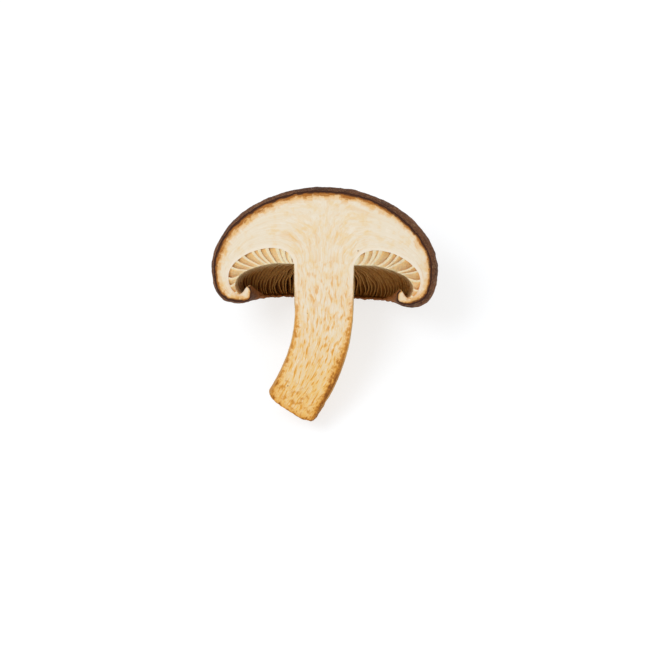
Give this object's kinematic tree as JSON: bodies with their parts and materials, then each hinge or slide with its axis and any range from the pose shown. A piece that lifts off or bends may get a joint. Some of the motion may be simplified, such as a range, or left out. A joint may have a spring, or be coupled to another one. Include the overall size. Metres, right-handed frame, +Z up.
{
  "type": "halved shiitake mushroom",
  "caption": "Shiitake mushroom cut in half lengthwise, lying cut face up: domed dark cap, pale flesh, gills under the rolled margin and a bent stem",
  "frame": {"origin": "On the surface that the half rests on, under the middle of its bounding box.", "axes": "+X runs across the cut face to its right, +Y runs from the heel of the stem towards the crown of the cap, and +Z is up. The half lies on the back of its cap and on its heel, so its cut face is tipped 28.5 degrees from level, low at the heel."},
  "size_m": [0.054, 0.0524, 0.0329],
  "materials": {
    "mushroom": "matte"
  },
  "bodies": {
    "root": {"mushroom_half": "mushroom"}
  },
  "joints": []
}
